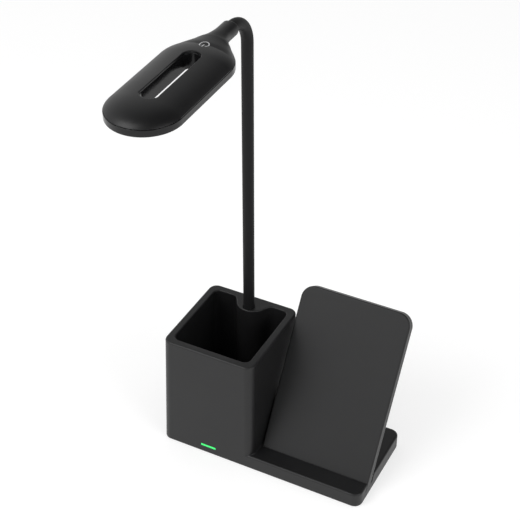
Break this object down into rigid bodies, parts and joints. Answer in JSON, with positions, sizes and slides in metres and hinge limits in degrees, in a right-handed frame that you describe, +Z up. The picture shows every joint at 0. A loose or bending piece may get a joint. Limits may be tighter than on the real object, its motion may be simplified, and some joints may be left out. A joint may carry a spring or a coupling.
{
  "type": "desk lamp with pen box and charging stand",
  "caption": "Desk lamp with a bendable neck and an oval slotted light head, on a base with an open pen box and a leaning wireless phone charging stand.",
  "frame": {"origin": "centre of the grip pad's underside, on the desk", "axes": "+X to the viewer's right, +Y to the back, +Z up"},
  "size_m": [0.158, 0.1729, 0.3367],
  "materials": {
    "shell": "fine matte texture",
    "cover": "matte",
    "pad": "matte rubber",
    "sleeve": "smooth silicone",
    "head_shell": "satin",
    "head_band": "satin",
    "diffuser": "milky",
    "light_bar": "translucent",
    "steel": "zinc plated",
    "copper": "copper wire and foil",
    "ferrite": "dull sheet",
    "board": "solder mask",
    "white_board": "white solder mask",
    "led": "phosphor"
  },
  "bodies": {
    "base": {"base_housing": "shell", "bottom_cover": "cover", "grip_pad": "pad", "ballast_plate": "steel", "cover_screws": "steel", "main_board": "board", "board_screws": "steel", "usb_inlet": "steel", "status_light_pipe": "light_bar", "status_led_board": "board", "stand_front_shell": "shell", "stand_back_cover": "shell", "charging_coil": "copper", "ferrite_sheet": "ferrite", "coil_board": "board", "stand_foot_screws": "steel", "stand_cover_screws": "steel", "neck_anchor": "steel", "neck_anchor_washer": "steel", "neck_anchor_nut": "steel", "neck_core_1": "steel", "neck_sleeve_1": "sleeve", "neck_flex_1": "sleeve"},
    "neck_link_1": {"neck_core_2": "steel", "neck_sleeve_2": "sleeve", "neck_flex_2": "sleeve"},
    "neck_link_2": {"neck_core_3": "steel", "neck_sleeve_3": "sleeve", "neck_flex_3": "sleeve"},
    "neck_link_3": {"neck_core_4": "steel", "neck_sleeve_4": "sleeve", "neck_flex_4": "sleeve"},
    "neck_link_4": {"neck_core_5": "steel", "neck_sleeve_5": "sleeve", "neck_flex_5": "sleeve"},
    "neck_link_5": {"neck_core_6": "steel", "neck_sleeve_6": "sleeve", "neck_flex_6": "sleeve"},
    "head": {"neck_core_7": "steel", "neck_sleeve_7": "sleeve", "head_top_shell": "head_shell", "head_lower_frame": "head_band", "head_ferrule": "steel", "head_set_screw": "steel", "light_diffuser": "diffuser", "led_board": "white_board", "led_chips": "led", "head_screws": "steel", "touch_pad": "copper"}
  },
  "joints": [
    {"name": "neck_low_fore_aft", "type": "hinge", "parent": "base", "child": "neck_link_1", "pos_m": [-0.041, 0.025, 0.124], "axis": [1, 0, 0], "range_deg": [-20, 25], "deforming": ["neck_flex_1"]},
    {"name": "neck_low_side", "type": "hinge", "parent": "neck_link_1", "child": "neck_link_2", "pos_m": [-0.041, 0.025, 0.172], "axis": [0, 1, 0], "range_deg": [-25, 25], "deforming": ["neck_flex_2"]},
    {"name": "neck_high_fore_aft", "type": "hinge", "parent": "neck_link_2", "child": "neck_link_3", "pos_m": [-0.041, 0.025, 0.22], "axis": [1, 0, 0], "range_deg": [-30, 30], "deforming": ["neck_flex_3"]},
    {"name": "neck_high_side", "type": "hinge", "parent": "neck_link_3", "child": "neck_link_4", "pos_m": [-0.041, 0.025, 0.268], "axis": [0, 1, 0], "range_deg": [-30, 30], "deforming": ["neck_flex_4"]},
    {"name": "neck_twist", "type": "hinge", "parent": "neck_link_4", "child": "neck_link_5", "pos_m": [-0.041, 0.025, 0.3], "axis": [0, 0, 1], "range_deg": [-45, 45], "deforming": ["neck_flex_5"]},
    {"name": "head_nod", "type": "hinge", "parent": "neck_link_5", "child": "head", "pos_m": [-0.041, 0.01896, 0.32533], "axis": [1, 0, 0], "range_deg": [-40, 35], "deforming": ["neck_flex_6"]}
  ]
}
